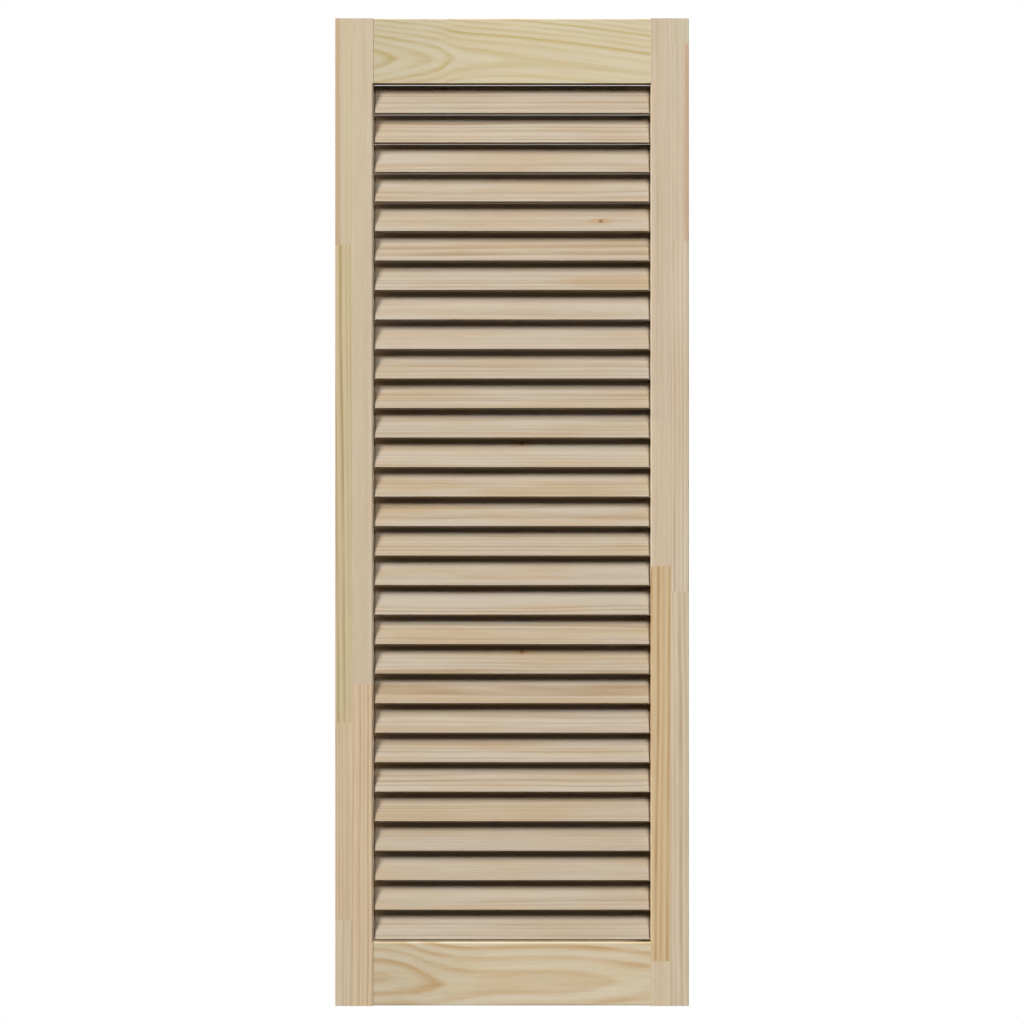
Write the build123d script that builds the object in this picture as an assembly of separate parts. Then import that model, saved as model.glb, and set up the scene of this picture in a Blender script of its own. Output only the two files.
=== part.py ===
from build123d import *
import math
import os

# Louvred wardrobe door leaf in solid pine.
# Two stiles run the full height and two rails are dowelled between them.
# Sloping slats fill the opening, with tongues on their ends let into slots
# in the stiles. The slats lie flush near the front and stop short of the back.
#
# Millimetres. X runs across the door from the hinge edge, Y from the front
# face to the back, Z up. The origin is on the hinge edge, at mid-height and
# in the middle of the thickness.

# The leaf
door_width = 394.0
door_height = 1100.0
door_thickness = 21.0

# Stiles, each glued up from two staves
stile_width = 42.5
left_outer_stave_width = 18.9
right_outer_stave_width = 20.2

# Rails, a little thinner than the stiles and just short of their ends
top_rail_width = 72.3
bottom_rail_width = 71.4
rail_recess = 0.4
rail_end_inset = 0.6

# Arrises: those round the outside, those that the front of the opening has
# at its sides and foot, and the nearly square ones of the rest
outer_arris_radius = 1.0
opening_arris_radius = 2.2
fine_arris_radius = 0.4

# Slats, leaning back from a nose near the front to a tail near the back
slat_width = 34.2
slat_thickness = 5.2
slat_angle = 69.0
slat_recess = 0.8
slat_arris_radius = 0.5
target_slat_pitch = 32.9
gap_over_bottom_rail = 1.05
gap_under_top_rail = 1.1
gap_beside_stile = 0.1

# Notches in the upper face of a slat, beside the stiles and from the nose up
notch_width = 2.1
notch_depth = 1.8
notch_length = 30.0

# Tongues on the ends of the slats and the slots for them
tongue_width = 26.0
tongue_thickness = 3.0
tongue_length = 9.0
slot_side_gap = 0.1
slot_end_gap = 0.5

# Dowels, two in each joint of a rail and a stile
dowel_diameter = 8.0
dowel_length = 40.0
dowel_spacing = 36.0
dowels_in_joint = 2
dowel_side_gap = 0.05
dowel_end_gap = 1.0

rail_thickness = door_thickness - 2 * rail_recess

# The opening between the stiles and rails
opening_left = stile_width
opening_right = door_width - stile_width
opening_width = opening_right - opening_left
opening_middle = (opening_left + opening_right) / 2
opening_bottom = bottom_rail_width - door_height / 2
opening_top = door_height / 2 - top_rail_width

# The room that a leaning slat takes up in height and in thickness
lean = math.radians(slat_angle)
slat_rise = slat_width * math.sin(lean) + slat_thickness * math.cos(lean)
slat_run = slat_width * math.cos(lean) + slat_thickness * math.sin(lean)
slat_y = slat_recess + (slat_run - door_thickness) / 2

# The slats share the height of the opening evenly, as near the target pitch as they can
first_slat_z = opening_bottom + gap_over_bottom_rail + slat_rise / 2
last_slat_z = opening_top - gap_under_top_rail - slat_rise / 2
slat_count = 1 + round((last_slat_z - first_slat_z) / target_slat_pitch)
slat_pitch = (last_slat_z - first_slat_z) / (slat_count - 1)
slat_heights = [last_slat_z - i * slat_pitch for i in range(slat_count)]


def block(x_low, x_high, z_low, z_high, thickness=door_thickness):
    """A square-edged board, centred in the thickness of the door."""
    centre = Pos((x_low + x_high) / 2, 0, (z_low + z_high) / 2)
    return centre * Box(x_high - x_low, thickness, z_high - z_low)


def ease(piece, axis, radius, x=None, z=None, front=None):
    """Rounds the long arrises along an axis that lie at x or z, on one face or both."""
    def wanted(edge):
        centre = edge.center()
        return ((x is None or abs(centre.X - x) < radius / 2)
                and (z is None or abs(centre.Z - z) < radius / 2)
                and (front is None or (centre.Y < 0) == front))
    arrises = [edge for edge in piece.edges().filter_by(axis) if wanted(edge)]
    return fillet(arrises, radius)


def leaning(flat_piece):
    """A piece made lying flat, leaned back as the slats are."""
    return Rot(slat_angle, 0, 0) * flat_piece


def joint_positions():
    """The name, joint plane and height of each dowel."""
    positions = []
    for rail_name, rail_z in (("top", opening_top + top_rail_width / 2),
                              ("bottom", opening_bottom - bottom_rail_width / 2)):
        for side, joint_x in (("left", opening_left), ("right", opening_right)):
            for n in range(dowels_in_joint):
                z = rail_z + (n - (dowels_in_joint - 1) / 2) * dowel_spacing
                positions.append((f"dowel_{rail_name}_{side}_{n + 1}", joint_x, z))
    return positions


def dowel():
    """A round pin along X."""
    return Rot(0, 90, 0) * Cylinder(dowel_diameter / 2, dowel_length)


def dowel_holes():
    """The holes that the dowels fill."""
    radius = dowel_diameter / 2 + dowel_side_gap
    drill = Rot(0, 90, 0) * Cylinder(radius, dowel_length + 2 * dowel_end_gap)
    return [Pos(x, 0, z) * drill for _, x, z in joint_positions()]


def slots():
    """The slots for the tongues of every slat, as bars across the whole opening."""
    length = opening_width + 2 * (tongue_length - gap_beside_stile + slot_end_gap)
    cutter = leaning(Box(length, tongue_width + 2 * slot_side_gap,
                         tongue_thickness + 2 * slot_side_gap))
    return [Pos(opening_middle, slat_y, z) * cutter for z in slat_heights]


def outer_stave(x_glue, x_edge):
    """The stave on the outside of a stile, with its outer arrises rounded."""
    low, high = sorted((x_glue, x_edge))
    blank = block(low, high, -door_height / 2, door_height / 2)
    return ease(blank, Axis.Z, outer_arris_radius, x=x_edge) - dowel_holes()


def inner_stave(x_glue, x_edge):
    """The slotted stave beside the opening, its front arris rounded between the rails."""
    low, high = sorted((x_glue, x_edge))
    beside_slats = block(low, high, opening_bottom, opening_top)
    beside_slats = ease(beside_slats, Axis.Z, opening_arris_radius, x=x_edge, front=True)
    beside_slats = ease(beside_slats, Axis.Z, fine_arris_radius, x=x_edge, front=False)
    beside_top_rail = block(low, high, opening_top, door_height / 2)
    beside_bottom_rail = block(low, high, -door_height / 2, opening_bottom)
    return beside_top_rail + beside_slats + beside_bottom_rail - dowel_holes() - slots()


def top_rail():
    """The rail over the slats, its lower arrises nearly square."""
    z_high = door_height / 2 - rail_end_inset
    blank = block(opening_left, opening_right, opening_top, z_high, rail_thickness)
    blank = ease(blank, Axis.X, outer_arris_radius, z=z_high)
    blank = ease(blank, Axis.X, fine_arris_radius, z=opening_top)
    return blank - dowel_holes()


def bottom_rail():
    """The rail under the slats, its front arris rounded as the stiles' are."""
    z_low = rail_end_inset - door_height / 2
    blank = block(opening_left, opening_right, z_low, opening_bottom, rail_thickness)
    blank = ease(blank, Axis.X, outer_arris_radius, z=z_low)
    blank = ease(blank, Axis.X, opening_arris_radius, z=opening_bottom, front=True)
    blank = ease(blank, Axis.X, fine_arris_radius, z=opening_bottom, front=False)
    return blank - dowel_holes()


def slat():
    """A slat with eased arrises, a tongue on each end and a notch beside each stile."""
    body = Box(opening_width - 2 * gap_beside_stile, slat_width, slat_thickness)
    body = fillet(body.edges().filter_by(Axis.X), slat_arris_radius)
    body += Box(opening_width + 2 * (tongue_length - gap_beside_stile), tongue_width,
                tongue_thickness)
    notch_x = (opening_width - notch_width) / 2
    notch_y = (notch_length - slat_width) / 2
    notch_z = (slat_thickness - notch_depth) / 2
    notch = Box(notch_width, notch_length, notch_depth)
    return leaning(body - [Pos(side * notch_x, notch_y, notch_z) * notch for side in (-1, 1)])


def door():
    """Every piece of the door by name."""
    left_glue_x = left_outer_stave_width
    right_glue_x = door_width - right_outer_stave_width
    pieces = {
        "left_stile_outer_stave": outer_stave(left_glue_x, 0),
        "left_stile_inner_stave": inner_stave(left_glue_x, opening_left),
        "right_stile_inner_stave": inner_stave(right_glue_x, opening_right),
        "right_stile_outer_stave": outer_stave(right_glue_x, door_width),
        "top_rail": top_rail(),
        "bottom_rail": bottom_rail(),
    }
    louvre = slat()
    for i, z in enumerate(slat_heights, start=1):
        pieces[f"slat_{i:02d}"] = Pos(opening_middle, slat_y, z) * louvre
    pin = dowel()
    for name, x, z in joint_positions():
        pieces[name] = Pos(x, 0, z) * pin
    return pieces


os.makedirs("parts", exist_ok=True)
for name, piece in door().items():
    export_step(piece, f"parts/{name}.step")
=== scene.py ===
import math
import random
from typing import NamedTuple

import bpy
from bpy.props import FloatProperty, FloatVectorProperty, PointerProperty
from mathutils import Euler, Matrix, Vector


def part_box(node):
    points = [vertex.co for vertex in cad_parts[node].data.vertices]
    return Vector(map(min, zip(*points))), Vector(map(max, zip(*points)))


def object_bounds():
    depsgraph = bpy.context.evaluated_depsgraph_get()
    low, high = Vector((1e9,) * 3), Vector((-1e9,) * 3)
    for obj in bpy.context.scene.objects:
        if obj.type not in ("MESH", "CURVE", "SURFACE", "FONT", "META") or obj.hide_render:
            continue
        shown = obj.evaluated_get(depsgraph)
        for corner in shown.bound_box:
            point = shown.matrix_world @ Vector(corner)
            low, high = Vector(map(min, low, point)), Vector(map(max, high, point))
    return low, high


bl_info = {
    "name": "Louvred Pine Door",
    "version": (1, 0, 0),
    "blender": (4, 5, 0),
    "location": "3D View > Sidebar > Pine Door",
    "description": "Finishes a louvred wardrobe door in bare pine and lights it",
    "category": "Object",
}

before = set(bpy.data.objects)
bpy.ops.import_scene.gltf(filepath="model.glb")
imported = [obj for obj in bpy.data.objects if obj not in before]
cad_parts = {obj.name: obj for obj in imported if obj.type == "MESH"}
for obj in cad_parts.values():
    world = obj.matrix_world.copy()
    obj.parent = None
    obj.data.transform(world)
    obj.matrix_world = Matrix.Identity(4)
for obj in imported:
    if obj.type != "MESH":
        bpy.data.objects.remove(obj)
cad_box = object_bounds()

MM = 0.001
LOW, HIGH = cad_box
CENTRE = (LOW + HIGH) / 2
DOOR_WIDTH = (HIGH.x - LOW.x) / MM
DOOR_FOOT = LOW.z / MM
FRONT = LOW.y / MM

# Far enough away for the light to be even from the door's top to its foot
LAMP_DISTANCE = 16.0

# A Mapping node's scale from metres to millimetres
TO_MM = (1 / MM, 1 / MM, 1 / MM)

# Metres along each side of the floor
FLOOR_SIZE = 6.0

# Turns the mapped coordinates so that the grain of a board across the door runs along Z
GRAIN_ACROSS = (0.0, math.radians(-90), 0.0)


def linear(hex_colour):
    """The linear colour of an sRGB hex value, with full alpha."""
    shares = [int(hex_colour[i:i + 2], 16) / 255 for i in (1, 3, 5)]
    light = [s / 12.92 if s <= 0.04045 else ((s + 0.055) / 1.055) ** 2.4 for s in shares]
    return (*light, 1.0)


def colour_property(name, description, hex_colour):
    """A colour that the sidebar shows, given as sRGB."""
    return FloatVectorProperty(name=name, description=description, subtype="COLOR", size=4,
                               min=0.0, max=1.0, default=linear(hex_colour))


class PineDoorWood(bpy.types.PropertyGroup):
    """Colours and roughness of the pine."""

    stile_tint: colour_property(
        "Stile tint", "Warm patches in the earlywood of the stiles", "#C9AE92")
    top_rail_early: colour_property(
        "Top rail earlywood", "Pale part of each ring in the top rail", "#D2C6A9")
    top_rail_late: colour_property(
        "Top rail latewood", "Dark part of each ring in the top rail", "#BDA86E")
    bottom_rail_early: colour_property(
        "Bottom rail earlywood", "Pale part of each ring in the bottom rail", "#D7C8AD")
    bottom_rail_late: colour_property(
        "Bottom rail latewood", "Dark part of each ring in the bottom rail", "#BF9862")
    rail_tint: colour_property(
        "Rail tint", "Warm patches in the earlywood of the rails", "#CDB892")
    # Darker than the rest, because the slats lean back towards the lamps and catch more light
    slat_early: colour_property(
        "Slat earlywood", "Pale part of each ring in the slats", "#B6A997")
    slat_late: colour_property(
        "Slat latewood", "Dark part of each ring in the slats", "#9B8367")
    slat_tint: colour_property(
        "Slat tint", "Warm patches in the earlywood of the slats", "#B19A7A")
    roughness: FloatProperty(
        name="Roughness", description="Roughness of the sanded, bare surface",
        default=0.72, min=0.0, max=1.0, subtype="FACTOR")


class PineDoorStudio(bpy.types.PropertyGroup):
    """Camera, lamps and floor."""

    camera_distance: FloatProperty(
        name="Camera distance", description="From the eye to the door's face",
        default=4.0, min=1.0, subtype="DISTANCE", unit="LENGTH")
    picture_height: FloatProperty(
        name="Picture height", description="Height of the view at the door's face",
        default=1.1403, min=0.5, subtype="DISTANCE", unit="LENGTH")
    eye_rise: FloatProperty(
        name="Eye rise", description="Height of the eye over the door's middle",
        default=0.0002, subtype="DISTANCE", unit="LENGTH")
    floor_drop: FloatProperty(
        name="Floor drop", description="From the door's foot down to the floor",
        default=0.6, min=0.0, subtype="DISTANCE", unit="LENGTH")
    key_power: FloatProperty(
        name="Key power", description="Power of the wide lamp on the upper left",
        default=3550.0, min=0.0, unit="POWER")
    fill_power: FloatProperty(
        name="Fill power", description="Power of the wide lamp on the upper right",
        default=1080.0, min=0.0, unit="POWER")
    back_power: FloatProperty(
        name="Back power", description="Power of the lamp behind the door, on its upper right",
        default=1900.0, min=0.0, unit="POWER")
    ambient: FloatProperty(
        name="Ambient", description="Strength of the even light from all round",
        default=0.01, min=0.0)


def add(tree, kind, inputs=None, **settings):
    """Adds a node with its settings; each input is linked to a socket or set to a value."""
    node = tree.nodes.new(kind)
    for name, value in settings.items():
        setattr(node, name, value)
    for name, value in (inputs or {}).items():
        if isinstance(value, bpy.types.NodeSocket):
            tree.links.new(value, node.inputs[name])
        else:
            node.inputs[name].default_value = value
    return node


def pine_group():
    """Solid wood: rings about a pith along Z and fibres along it, with Vector in millimetres."""
    tree = bpy.data.node_groups.get("solid pine")
    if tree:
        return tree
    tree = bpy.data.node_groups.new("solid pine", "ShaderNodeTree")
    for name, kind in (("Vector", "Vector"), ("Seed", "Float"), ("Ring Spacing", "Float"),
                       ("Wander", "Float"), ("Unevenness", "Float"), ("Latewood", "Float"),
                       ("Early", "Color"), ("Late", "Color"), ("Tint", "Color"),
                       ("Tint Share", "Float")):
        tree.interface.new_socket(name, in_out="INPUT", socket_type="NodeSocket" + kind)
    tree.interface.new_socket("Color", in_out="OUTPUT", socket_type="NodeSocketColor")
    tree.interface.new_socket("Height", in_out="OUTPUT", socket_type="NodeSocketFloat")
    given = add(tree, "NodeGroupInput").outputs

    # The board's own place in the noise, so that no two boards repeat
    seed = given["Seed"]
    shift = add(tree, "ShaderNodeCombineXYZ", {"X": seed, "Y": seed, "Z": seed})
    shift = add(tree, "ShaderNodeVectorMath", {0: shift.outputs[0], 1: (17.3, 31.7, 9.1)},
                operation="MULTIPLY")

    def noise(across_mm, along_mm, detail):
        """Noise whose features are so many millimetres across and along the grain."""
        scaled = add(tree, "ShaderNodeVectorMath",
                     {0: given["Vector"], 1: (1 / across_mm, 1 / across_mm, 1 / along_mm),
                      2: shift.outputs[0]}, operation="MULTIPLY_ADD")
        return add(tree, "ShaderNodeTexNoise", {"Vector": scaled.outputs[0], "Scale": 1.0,
                                                "Detail": detail, "Roughness": 0.5})

    # Rings that wander a little along the trunk
    bend = add(tree, "ShaderNodeVectorMath",
               {0: noise(34, 240, 1.0).outputs["Color"], 1: (0.5, 0.5, 0.5)}, operation="SUBTRACT")
    bend = add(tree, "ShaderNodeVectorMath", {0: bend.outputs[0], "Scale": given["Wander"]},
               operation="SCALE")
    bent = add(tree, "ShaderNodeVectorMath",
               {0: bend.outputs[0], 1: (2.0, 2.0, 0.0), 2: given["Vector"]},
               operation="MULTIPLY_ADD")
    flat = add(tree, "ShaderNodeVectorMath", {0: bent.outputs[0], 1: (1.0, 1.0, 0.0)},
               operation="MULTIPLY")
    radius = add(tree, "ShaderNodeVectorMath", {0: flat.outputs[0]}, operation="LENGTH")
    years = add(tree, "ShaderNodeMath", {0: radius.outputs["Value"], 1: given["Ring Spacing"]},
                operation="DIVIDE")

    # Good and bad summers make wide and narrow rings
    growth = add(tree, "ShaderNodeMath", {0: years.outputs[0], 1: seed}, operation="ADD")
    growth = add(tree, "ShaderNodeTexNoise", {"W": growth.outputs[0], "Scale": 0.45, "Detail": 1.0},
                 noise_dimensions="1D")
    years = add(tree, "ShaderNodeMath", {0: growth.outputs["Fac"], 1: given["Unevenness"],
                                         2: years.outputs[0]}, operation="MULTIPLY_ADD")
    year = add(tree, "ShaderNodeMath", {0: years.outputs[0]}, operation="FLOOR")
    season = add(tree, "ShaderNodeMath", {0: years.outputs[0]}, operation="FRACT")

    # Latewood darkens slowly through the summer and stops sooner than it began
    rise = add(tree, "ShaderNodeMapRange",
               {"Value": season.outputs[0], "From Min": 0.25, "From Max": 0.75},
               interpolation_type="SMOOTHSTEP")
    stop = add(tree, "ShaderNodeMapRange",
               {"Value": season.outputs[0], "From Min": 0.78, "From Max": 1.0,
                "To Min": 1.0, "To Max": 0.0}, interpolation_type="SMOOTHSTEP")
    late = add(tree, "ShaderNodeMath", {0: rise.outputs[0], 1: stop.outputs[0]},
               operation="MULTIPLY")
    # Some years' latewood is fainter, and it comes and goes along the grain
    summer = add(tree, "ShaderNodeMath", {0: year.outputs[0], 1: seed}, operation="ADD")
    summer = add(tree, "ShaderNodeTexWhiteNoise", {"W": summer.outputs[0]}, noise_dimensions="1D")
    summer = add(tree, "ShaderNodeMapRange", {"Value": summer.outputs["Value"], "To Min": 0.4})
    late = add(tree, "ShaderNodeMath", {0: late.outputs[0], 1: summer.outputs[0]},
               operation="MULTIPLY")
    patchy = add(tree, "ShaderNodeMapRange", {"Value": noise(9, 110, 2.0).outputs["Fac"],
                                              "From Min": 0.3, "From Max": 0.65, "To Min": 0.4})
    late = add(tree, "ShaderNodeMath", {0: late.outputs[0], 1: patchy.outputs[0]},
               operation="MULTIPLY")
    share = add(tree, "ShaderNodeMath", {0: late.outputs[0], 1: given["Latewood"]},
                operation="MULTIPLY", use_clamp=True)

    # Slow change of tint along and across the board
    tint = add(tree, "ShaderNodeMapRange",
               {"Value": noise(16, 170, 2.0).outputs["Fac"], "From Min": 0.35, "From Max": 0.68,
                "To Max": given["Tint Share"]}, interpolation_type="SMOOTHSTEP")
    ground = add(tree, "ShaderNodeMix", {0: tint.outputs[0], 6: given["Early"], 7: given["Tint"]},
                 data_type="RGBA")
    ringed = add(tree, "ShaderNodeMix",
                 {0: share.outputs[0], 6: ground.outputs[2], 7: given["Late"]}, data_type="RGBA")

    # Streaks a few millimetres wide, and fibres drawn coarser than real ones so that they show
    streak = add(tree, "ShaderNodeMapRange",
                 {"Value": noise(2.6, 70, 2.0).outputs["Fac"], "From Min": 0.3, "From Max": 0.7,
                  "To Min": 0.97, "To Max": 1.03})
    fibres = noise(0.9, 16, 2.0)
    fibre = add(tree, "ShaderNodeMapRange",
                {"Value": fibres.outputs["Fac"], "From Min": 0.3, "From Max": 0.7,
                 "To Min": 0.975, "To Max": 1.025})
    tone = add(tree, "ShaderNodeMath", {0: streak.outputs[0], 1: fibre.outputs[0]},
               operation="MULTIPLY")
    colour = add(tree, "ShaderNodeVectorMath", {0: ringed.outputs[2], "Scale": tone.outputs[0]},
                 operation="SCALE")
    # Hard latewood stands up from the sanded face, as fibres do
    height = add(tree, "ShaderNodeMath", {0: share.outputs[0], 1: 0.5, 2: fibres.outputs["Fac"]},
                 operation="MULTIPLY_ADD")
    add(tree, "NodeGroupOutput", {"Color": colour.outputs[0], "Height": height.outputs[0]})
    return tree


# Bare wood: an IOR usual for it, and hardly any of the gloss that a varnish would give
WOOD_IOR = 1.45
WOOD_GLOSS = 0.06
# How far the fibres stand up from a sanded face, in millimetres, and how strongly that shows
GRAIN_RELIEF = 0.06
RELIEF_STRENGTH = 0.35
# How bright a cut end is next to a face
END_GRAIN_TONE = 0.74


def board_material(name, colour_and_height, roughness, grain_axis):
    """Bare wood, cut and sanded; colour_and_height builds its grain in the given tree.

    It is matt, with a weak wide sheen, and warm and pale, for no lacquer deepens its colour.
    """
    material = bpy.data.materials.new(name)
    material.use_nodes = True
    tree = material.node_tree
    place = add(tree, "ShaderNodeTexCoord")
    colour, height = colour_and_height(tree, place.outputs["Object"])
    # Cut ends drink in light between the open fibres, so they look darker
    facing = add(tree, "ShaderNodeVectorMath", {0: place.outputs["Normal"], 1: grain_axis},
                 operation="DOT_PRODUCT")
    end_grain = add(tree, "ShaderNodeMath", {0: facing.outputs["Value"]}, operation="ABSOLUTE")
    end_grain = add(tree, "ShaderNodeMapRange", {"Value": end_grain.outputs[0], "From Min": 0.8,
                                                 "To Min": 1.0, "To Max": END_GRAIN_TONE})
    colour = add(tree, "ShaderNodeVectorMath", {0: colour, "Scale": end_grain.outputs[0]},
                 operation="SCALE")
    bump = add(tree, "ShaderNodeBump", {"Strength": RELIEF_STRENGTH,
                                        "Distance": GRAIN_RELIEF * MM, "Height": height})
    surface = tree.nodes["Principled BSDF"]
    surface.inputs["Roughness"].default_value = roughness
    surface.inputs["IOR"].default_value = WOOD_IOR
    surface.inputs["Specular IOR Level"].default_value = WOOD_GLOSS
    tree.links.new(colour.outputs[0], surface.inputs["Base Color"])
    tree.links.new(bump.outputs[0], surface.inputs["Normal"])
    return material


def wood_at(tree, place, turn, pivot, pith, **settings):
    """Pine about a straight pith; pith runs from it to the pivot, both in millimetres."""
    moved = Vector(pith) - Euler(turn).to_matrix() @ Vector(pivot)
    mapped = add(tree, "ShaderNodeMapping", {"Vector": place, "Scale": TO_MM, "Rotation": turn,
                                             "Location": moved})
    return wood(tree, mapped.outputs[0], **settings)


def wood(tree, spot, seed, ring, wander, unevenness, latewood, early, late, tint, tint_share):
    """The colour and height of pine at a spot measured from its pith."""
    made = add(tree, "ShaderNodeGroup", node_tree=pine_group())
    tree.links.new(spot, made.inputs["Vector"])
    for name, value in (("Seed", seed), ("Ring Spacing", ring), ("Wander", wander),
                        ("Unevenness", unevenness), ("Latewood", latewood), ("Early", early),
                        ("Late", late), ("Tint", tint), ("Tint Share", tint_share)):
        made.inputs[name].default_value = value
    return made.outputs["Color"], made.outputs["Height"]


def dress(names, material):
    """Gives CAD nodes one material."""
    for name in names:
        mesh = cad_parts[name].data
        mesh.materials.clear()
        mesh.materials.append(material)


def new_lamp(name, toward, width, height, power):
    """A soft panel lamp that shines at the middle of the door from a direction."""
    lamp = bpy.data.lights.new(name, "AREA")
    lamp.shape = "RECTANGLE"
    lamp.size, lamp.size_y = width, height
    lamp.energy = power
    holder = bpy.data.objects.new(name, lamp)
    way = Vector(toward).normalized()
    holder.location = CENTRE + way * LAMP_DISTANCE
    holder.rotation_euler = (-way).to_track_quat("-Z", "Y").to_euler()
    bpy.context.scene.collection.objects.link(holder)


class PINEDOOR_OT_stage(bpy.types.Operator):
    """Sets up the camera, the lamps, the white surroundings and the floor"""

    bl_idname = "pinedoor.stage"
    bl_label = "Set the Stage"

    def execute(self, context):
        studio = context.scene.pine_door_studio
        scene = context.scene
        scene.view_settings.view_transform = "Standard"
        self.camera(scene, studio)
        new_lamp("key", (-1.15, -1.0, 1.2), 4.4, 6.4, studio.key_power)
        new_lamp("fill", (0.7, -1.0, 0.9), 3.5, 5.0, studio.fill_power)
        new_lamp("behind", (1.6, 1.0, 1.3), 2.6, 2.6, studio.back_power)
        self.surroundings(scene, studio)
        self.floor(studio)
        return {"FINISHED"}

    def camera(self, scene, studio):
        """A camera level with the door's middle, straight in front."""
        lens = bpy.data.cameras.new("camera")
        lens.sensor_width = 36.0
        lens.lens = lens.sensor_width * studio.camera_distance / studio.picture_height
        eye = bpy.data.objects.new("camera", lens)
        eye.location = (CENTRE.x, LOW.y - studio.camera_distance, CENTRE.z + studio.eye_rise)
        eye.rotation_euler = (math.radians(90), 0, 0)
        scene.collection.objects.link(eye)
        scene.camera = eye

    def surroundings(self, scene, studio):
        """White all round to the eye, and a little even light from everywhere."""
        world = bpy.data.worlds.new("studio")
        world.use_nodes = True
        scene.world = world
        tree = world.node_tree
        tree.nodes.clear()
        light = add(tree, "ShaderNodeBackground",
                    {"Color": (1, 1, 1, 1), "Strength": studio.ambient})
        white = add(tree, "ShaderNodeBackground", {"Color": (1, 1, 1, 1), "Strength": 1.0})
        mixed = add(tree, "ShaderNodeMixShader", {0: self.seen(tree), 1: light.outputs[0],
                                                  2: white.outputs[0]})
        add(tree, "ShaderNodeOutputWorld", {0: mixed.outputs[0]})

    def seen(self, tree):
        """One for rays that show the surroundings: straight, mirrored or through glass."""
        path = add(tree, "ShaderNodeLightPath").outputs
        shown = add(tree, "ShaderNodeMath", {0: path["Is Camera Ray"], 1: path["Is Glossy Ray"]},
                    operation="MAXIMUM")
        shown = add(tree, "ShaderNodeMath", {0: shown.outputs[0], 1: path["Is Transmission Ray"]},
                    operation="MAXIMUM")
        return shown.outputs[0]

    def floor(self, studio):
        """A plain floor under the hanging door, white to the eye with the door's shadow on it."""
        bpy.ops.object.select_all(action="DESELECT")
        place = (CENTRE.x, CENTRE.y, LOW.z - studio.floor_drop)
        bpy.ops.mesh.primitive_plane_add(size=FLOOR_SIZE, location=place)
        floor = bpy.context.object
        floor.name = "floor"
        bpy.ops.object.transform_apply(location=True, rotation=True, scale=True)
        # Matt white emulsion paint, which takes a soft shadow and mirrors nothing
        material = bpy.data.materials.new("white painted floor")
        material.use_nodes = True
        tree = material.node_tree
        tree.nodes.clear()
        # To the eye its glow lifts the lit paint to white, and to the door it throws little light
        lit = add(tree, "ShaderNodeBsdfDiffuse", {"Color": linear("#BCBCBC")})
        glow = add(tree, "ShaderNodeEmission", {"Color": (1, 1, 1, 1), "Strength": 0.6})
        pale = add(tree, "ShaderNodeAddShader", {0: lit.outputs[0], 1: glow.outputs[0]})
        dull = add(tree, "ShaderNodeBsdfDiffuse", {"Color": linear("#202020")})
        mixed = add(tree, "ShaderNodeMixShader", {0: self.seen(tree), 1: dull.outputs[0],
                                                  2: pale.outputs[0]})
        add(tree, "ShaderNodeOutputMaterial", {0: mixed.outputs[0]})
        floor.data.materials.append(material)


class Length(NamedTuple):
    """One length of pine in a stave, in millimetres."""

    foot: float  # Height of its lower end over the door's foot
    early: str  # Pale wood of spring
    late: str  # Dark wood of summer
    ring: float  # Width of a year's growth
    latewood: float  # How strongly the summer wood shows
    pith: tuple  # From the pith to the foot of the length, across and forwards
    lean: float = 0.0  # Degrees between the rings and the stave's edge
    blush: str = "#FFFFFF"  # Warmer tone that the wood takes towards the stave's outer edge


# The lengths of each stave from the top down
STAVES = {
    "left_stile_outer_stave": (
        Length(848, "#CBBE9F", "#BDA381", 6.5, 0.3, (41, 14), 0.2, blush="#F5E6DF"),
        Length(315.5, "#CBBB96", "#A48A58", 5.3, 0.8, (46, 9), 0.5),
        Length(96.5, "#D2BD9E", "#B28E68", 3.6, 0.65, (38, 12)),
        Length(0, "#D2C2A8", "#B5946F", 4.5, 0.75, (52, 18), -0.4),
    ),
    "left_stile_inner_stave": (
        Length(358, "#CDBDA3", "#B9A58A", 6.5, 0.25, (20, 60)),
        Length(0, "#D5BFA0", "#AC885E", 5.0, 0.65, (64, 6), -0.15),
    ),
    "right_stile_inner_stave": (
        Length(652, "#CEBEA6", "#B49C7C", 3.3, 0.7, (-70, 8)),
        Length(490, "#D0BFA5", "#B69E80", 3.3, 0.5, (-60, 16)),
        Length(50, "#D2B992", "#A4773E", 6.6, 0.8, (-58, 10), -0.35),
        Length(0, "#D6C6AA", "#C0A888", 4.0, 0.6, (-44, 12)),
    ),
    "right_stile_outer_stave": (
        Length(1072, "#CBC1A8", "#BBA580", 4.5, 0.5, (-40, 20)),
        Length(852, "#CFC2AA", "#B69A7A", 5.0, 0.5, (-50, 14), 0.1, blush="#F8E9E4"),
        Length(462, "#D3C4AC", "#B19470", 3.2, 0.75, (-66, 8)),
        Length(0, "#D5C5AB", "#AD8E66", 5.2, 0.65, (-30, 22), 0.25),
    ),
}
# The fingers that join the lengths, in millimetres
FINGER_LENGTH = 11.0
FINGER_PITCH = 3.8
# The blush: even near the stave's edge, gone further in, and weaker towards the back
BLUSH_EVEN = 2.25
BLUSH_REACH = 9.0
BLUSH_DEPTHS = (2.0, 14.0)
BLUSH_AT_BACK = 0.15
# How far along the trunk one length of a stave is from the next, so that no two look alike
TRUNK_STEP = 40.0


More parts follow.
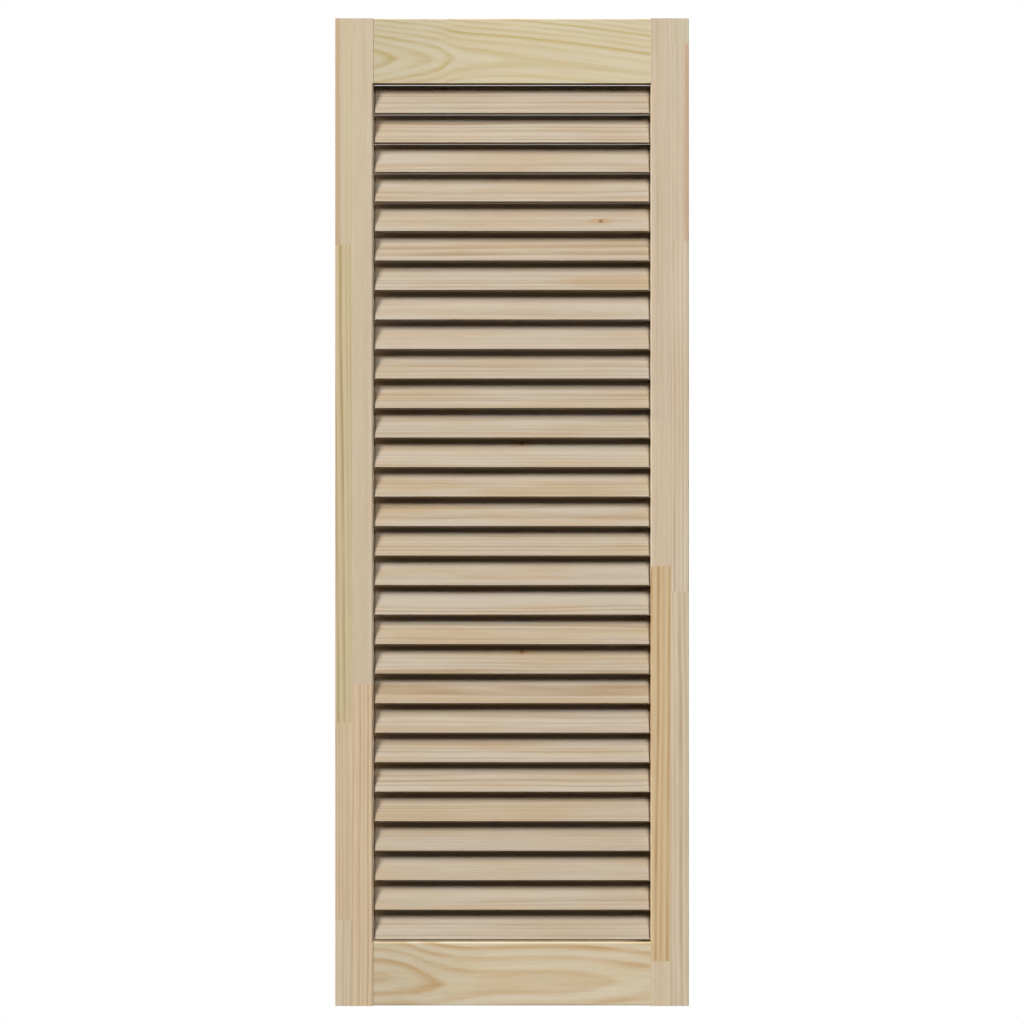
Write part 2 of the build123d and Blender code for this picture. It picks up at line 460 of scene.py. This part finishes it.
class PINEDOOR_OT_stiles(bpy.types.Operator):
    """Finishes the stiles' staves, each made of lengths of pine joined end to end by fingers"""

    bl_idname = "pinedoor.stiles"
    bl_label = "Finish the Stiles"

    def execute(self, context):
        finish = context.scene.pine_door_wood
        for number, (name, lengths) in enumerate(STAVES.items()):
            def build(tree, place, name=name, number=number, lengths=lengths):
                return self.stave(tree, place, name, number, lengths, finish.stile_tint)

            # Sawn along the trunk's radius, so the rings are close, straight lines up the stave
            dress([name], board_material("sanded pine " + name, build, finish.roughness, (0, 0, 1)))
        return {"FINISHED"}

    def stave(self, tree, place, name, number, lengths, tint):
        """The wood of a stave, each length of it over the next down to the foot."""
        low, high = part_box(name)
        middle = (low.x + high.x) / 2 / MM
        outer, inward = (low.x, MM) if middle < DOOR_WIDTH / 2 else (high.x, -MM)
        parts = add(tree, "ShaderNodeSeparateXYZ", {0: place})
        # Fingers cut through the thickness look straight on the faces and jagged on the edges
        depth = add(tree, "ShaderNodeMath", {0: parts.outputs["Y"], 1: low.y}, operation="SUBTRACT")
        finger = add(tree, "ShaderNodeMath", {0: depth.outputs[0], 1: FINGER_PITCH * MM},
                     operation="PINGPONG")
        level = add(tree, "ShaderNodeMath", {0: finger.outputs[0], 1: FINGER_LENGTH / FINGER_PITCH,
                                             2: parts.outputs["Z"]}, operation="MULTIPLY_ADD")
        warm = add(tree, "ShaderNodeMapRange", {"Value": depth.outputs[0],
                                                "From Min": BLUSH_DEPTHS[0] * MM,
                                                "From Max": BLUSH_DEPTHS[1] * MM,
                                                "To Min": 1.0, "To Max": BLUSH_AT_BACK},
                   interpolation_type="SMOOTHSTEP")
        warm = add(tree, "ShaderNodeMapRange", {"Value": parts.outputs["X"],
                                                "From Min": outer + BLUSH_EVEN * inward,
                                                "From Max": outer + BLUSH_REACH * inward,
                                                "To Min": warm.outputs[0], "To Max": 0.0},
                   interpolation_type="SMOOTHSTEP")
        woods = []
        for n, length in enumerate(lengths):
            across, forwards = length.pith
            # Each length has a seed of its own, so that no two share their rings
            colour, height = wood_at(
                tree, place, (0.0, math.radians(length.lean), 0.0),
                (middle, FRONT, length.foot + DOOR_FOOT), (across, forwards, TRUNK_STEP * n),
                seed=3.7 * number + 1.9 * n + 0.6, ring=length.ring, wander=2.0, unevenness=1.6,
                latewood=length.latewood, early=linear(length.early), late=linear(length.late),
                tint=tint, tint_share=0.35)
            colour = add(tree, "ShaderNodeMix",
                         {0: warm.outputs[0], 6: colour, 7: linear(length.blush)},
                         data_type="RGBA", blend_type="MULTIPLY").outputs[2]
            woods.append((colour, height))
        colour, height = woods[0]
        for upper, (lower_colour, lower_height) in zip(lengths, woods[1:]):
            joint = (upper.foot + DOOR_FOOT) * MM
            below = add(tree, "ShaderNodeMath", {0: level.outputs[0], 1: joint},
                        operation="LESS_THAN").outputs[0]
            colour = add(tree, "ShaderNodeMix", {0: below, 6: colour, 7: lower_colour},
                         data_type="RGBA").outputs[2]
            height = add(tree, "ShaderNodeMix", {0: below, 2: height, 3: lower_height}).outputs[0]
        return colour, height


class Arches(NamedTuple):
    """The line of the pith behind a flat-sawn rail, from the hinge edge as a share of the width."""

    seed: float  # The board's own place in the noise
    ring: float  # Width of a year's growth, in millimetres
    heights: tuple  # Shares, and millimetres that the line lies over the rail's foot
    depths: tuple  # Shares, and millimetres that the line lies behind the rail's face


# Arches close where the depth passes a whole number of rings
RAILS = {
    "top_rail": Arches(
        6.9, 4.0,
        ((0.0, 26.5), (0.45, 26.5), (0.63, 21.5), (0.8, 13.8), (1.0, 3.0)),
        ((0.0, 38.5), (0.112, 40.7), (0.181, 43.6), (0.286, 47.6), (0.346, 51.6),
         (0.42, 53.0), (0.5, 54.0), (0.8, 55.3), (1.0, 56.0))),
    "bottom_rail": Arches(
        4.6, 8.0,
        ((0.0, 31.0), (0.16, 31.0), (0.302, 24.0), (0.5, 26.5), (0.8, 27.0), (1.0, 26.0)),
        ((0.0, 30.0), (0.112, 30.0), (0.157, 31.0), (0.302, 39.0), (0.38, 42.3),
         (0.45, 43.4), (0.65, 43.4), (0.807, 47.0), (0.9, 49.5), (1.0, 50.5))),
}
# How sharply the arches on a rail are peaked
PEAK = 0.12
# The least height and depth of the line, and how far over that a curve can take it
LEAST_HEIGHT = 0.0
LEAST_DEPTH = 30.0
CURVE_SPAN = 40.0


class PINEDOOR_OT_rails(bpy.types.Operator):
    """Finishes the rails, cut flat from the log so that the rings show as arches"""

    bl_idname = "pinedoor.rails"
    bl_label = "Finish the Rails"

    def execute(self, context):
        finish = context.scene.pine_door_wood
        for name, arches in RAILS.items():
            colours = {"early": getattr(finish, name + "_early"),
                       "late": getattr(finish, name + "_late"), "tint": finish.rail_tint}
            self.rail(name, arches, colours, finish.roughness)
        return {"FINISHED"}

    def rail(self, name, arches, colours, roughness):
        """A flat-sawn rail whose pith line rises, falls and dips behind the face."""
        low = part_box(name)[0]

        def build(tree, place):
            # Millimetres from the hinge edge, the rail's face and its foot
            local = add(tree, "ShaderNodeMapping",
                        {"Vector": place, "Scale": TO_MM,
                         "Location": (0.0, -low.y / MM, -low.z / MM)})
            parts = add(tree, "ShaderNodeSeparateXYZ", {0: local.outputs[0]}).outputs
            share = add(tree, "ShaderNodeMath", {0: parts["X"], 1: DOOR_WIDTH},
                        operation="DIVIDE").outputs[0]
            line_height = self.along(tree, share, arches.heights, LEAST_HEIGHT)
            over = add(tree, "ShaderNodeMath", {0: parts["Z"], 1: line_height},
                       operation="SUBTRACT").outputs[0]
            line_depth = self.along(tree, share, arches.depths, LEAST_DEPTH)
            behind = add(tree, "ShaderNodeMath", {0: parts["Y"], 1: line_depth},
                         operation="SUBTRACT").outputs[0]
            # The arches come to a peak
            flank = add(tree, "ShaderNodeMath", {0: over}, operation="ABSOLUTE").outputs[0]
            behind = add(tree, "ShaderNodeMath", {0: flank, 1: -PEAK, 2: behind},
                         operation="MULTIPLY_ADD").outputs[0]
            spot = add(tree, "ShaderNodeCombineXYZ", {"X": over, "Y": behind, "Z": parts["X"]})
            colour, height = wood(tree, spot.outputs[0], seed=arches.seed, ring=arches.ring,
                                  wander=0.9, unevenness=0.0, latewood=0.95, tint_share=0.45,
                                  **colours)
            # A little darker towards the hinge edge
            tone = add(tree, "ShaderNodeMapRange", {"Value": share, "From Min": 0.12,
                                                    "From Max": 0.5, "To Min": 0.91,
                                                    "To Max": 1.01},
                       interpolation_type="SMOOTHSTEP")
            colour = add(tree, "ShaderNodeVectorMath", {0: colour, "Scale": tone.outputs[0]},
                         operation="SCALE")
            return colour.outputs[0], height

        # Sawn flat, so the rings are wide and come up as nested arches
        material = board_material("flat-sawn sanded pine " + name, build, roughness, (1, 0, 0))
        dress([name], material)

    def along(self, tree, share, points, least):
        """A smooth curve through points of share and millimetres, none of them under the least."""
        curve = add(tree, "ShaderNodeFloatCurve", {"Value": share})
        line = curve.mapping.curves[0]
        while len(line.points) < len(points):
            line.points.new(0.5, 0.5)
        for point, (at, value) in zip(line.points, points):
            point.location = (at, (value - least) / CURVE_SPAN)
        curve.mapping.update()
        return add(tree, "ShaderNodeMapRange", {"Value": curve.outputs[0], "To Min": least,
                                                "To Max": least + CURVE_SPAN}).outputs[0]


# Small knots: the slat, and the place on its face across the door and over the door's foot
KNOTS = {"slat_05": (296, 874.5), "slat_13": (208, 626.5), "slat_20": (208, 394)}
# A knot's patch of amber and the reddish wood inside it: tone, length and width in millimetres
KNOT_TONES = (("#AE8F68", 20.0, 4.5), ("#7E5238", 3.6, 3.0))
# Starts the draws that give each slat its own wood
SLAT_DRAW = 29


class PINEDOOR_OT_slats(bpy.types.Operator):
    """Finishes the slats, each from a board of its own"""

    bl_idname = "pinedoor.slats"
    bl_label = "Finish the Slats"

    def execute(self, context):
        finish = context.scene.pine_door_wood
        chance = random.Random(SLAT_DRAW)
        for name in sorted(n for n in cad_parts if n.startswith("slat_")):
            low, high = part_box(name)
            middle = (low + high) / 2 / MM
            # Where in the log the slat was: which way from the pith, how far, and how high up
            angle = math.radians(chance.uniform(25, 75))
            reach = chance.uniform(45, 90)
            pith = (reach * math.sin(angle), reach * math.cos(angle), chance.uniform(-400, 400))
            tone = chance.uniform(0.98, 1.02)
            settings = {"seed": chance.uniform(0, 60), "ring": chance.uniform(1.9, 3.6),
                        "wander": chance.uniform(1.0, 2.4), "unevenness": 2.0,
                        "latewood": chance.uniform(0.5, 1.0),
                        "early": [v * tone for v in finish.slat_early[:3]] + [1.0],
                        "late": finish.slat_late, "tint": finish.slat_tint,
                        "tint_share": chance.uniform(0.4, 0.8)}

            def build(tree, place, name=name, middle=middle, pith=pith, settings=settings):
                colour, height = wood_at(tree, place, GRAIN_ACROSS, middle, pith, **settings)
                if name in KNOTS:
                    colour = self.knot(tree, place, colour, *KNOTS[name])
                return colour, height

            # Close rings from one tree or another, so each slat is a little different in tone
            dress([name], board_material("sanded pine " + name, build, finish.roughness, (1, 0, 0)))
        return {"FINISHED"}

    def knot(self, tree, place, colour, x, z):
        """A pin knot of reddish wood in a patch of amber, drawn out along the grain."""
        for tone, length, width in KNOT_TONES:
            near = add(tree, "ShaderNodeMapping",
                       {"Vector": place, "Scale": (1 / MM / length, 0.0, 1 / MM / width),
                        "Location": (-x / length, 0.0, -(z + DOOR_FOOT) / width)})
            far = add(tree, "ShaderNodeVectorMath", {0: near.outputs[0]}, operation="LENGTH")
            share = add(tree, "ShaderNodeMapRange",
                        {"Value": far.outputs["Value"], "From Min": 0.35, "From Max": 1.0,
                         "To Min": 0.7, "To Max": 0.0}, interpolation_type="SMOOTHSTEP")
            colour = add(tree, "ShaderNodeMix", {0: share.outputs[0], 6: colour, 7: linear(tone)},
                         data_type="RGBA").outputs[2]
        return colour


class PINEDOOR_OT_dowels(bpy.types.Operator):
    """Finishes the dowels inside the joints"""

    bl_idname = "pinedoor.dowels"
    bl_label = "Finish the Dowels"

    def execute(self, context):
        finish = context.scene.pine_door_wood

        def build(tree, place):
            return wood_at(tree, place, GRAIN_ACROSS, (0, 0, 0), (0, 40, 0), seed=8.0, ring=1.2,
                           wander=1.0, unevenness=1.0, latewood=0.3, early=finish.slat_early,
                           late=finish.slat_late, tint=finish.slat_tint, tint_share=0.3)

        # Turned from a straight stick of a close-grained wood, so hardly a ring shows
        material = board_material("turned hardwood dowel", build, finish.roughness, (1, 0, 0))
        dress([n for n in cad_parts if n.startswith("dowel_")], material)
        return {"FINISHED"}


STEPS = (PINEDOOR_OT_stage, PINEDOOR_OT_stiles, PINEDOOR_OT_rails, PINEDOOR_OT_slats,
         PINEDOOR_OT_dowels)


class PINEDOOR_PT_panel(bpy.types.Panel):
    """Lists the steps that finish the door"""

    bl_label = "Pine Door"
    bl_space_type = "VIEW_3D"
    bl_region_type = "UI"
    bl_category = "Pine Door"

    def draw(self, context):
        for step in STEPS:
            self.layout.operator(step.bl_idname)


CLASSES = (PineDoorWood, PineDoorStudio) + STEPS + (PINEDOOR_PT_panel,)


def register():
    for entry in CLASSES:
        bpy.utils.register_class(entry)
    bpy.types.Scene.pine_door_wood = PointerProperty(type=PineDoorWood)
    bpy.types.Scene.pine_door_studio = PointerProperty(type=PineDoorStudio)


def unregister():
    del bpy.types.Scene.pine_door_studio
    del bpy.types.Scene.pine_door_wood
    for entry in reversed(CLASSES):
        bpy.utils.unregister_class(entry)


def main():
    register()
    bpy.ops.pinedoor.stage()
    bpy.ops.pinedoor.stiles()
    bpy.ops.pinedoor.rails()
    bpy.ops.pinedoor.slats()
    bpy.ops.pinedoor.dowels()


if __name__ == "__main__":
    main()
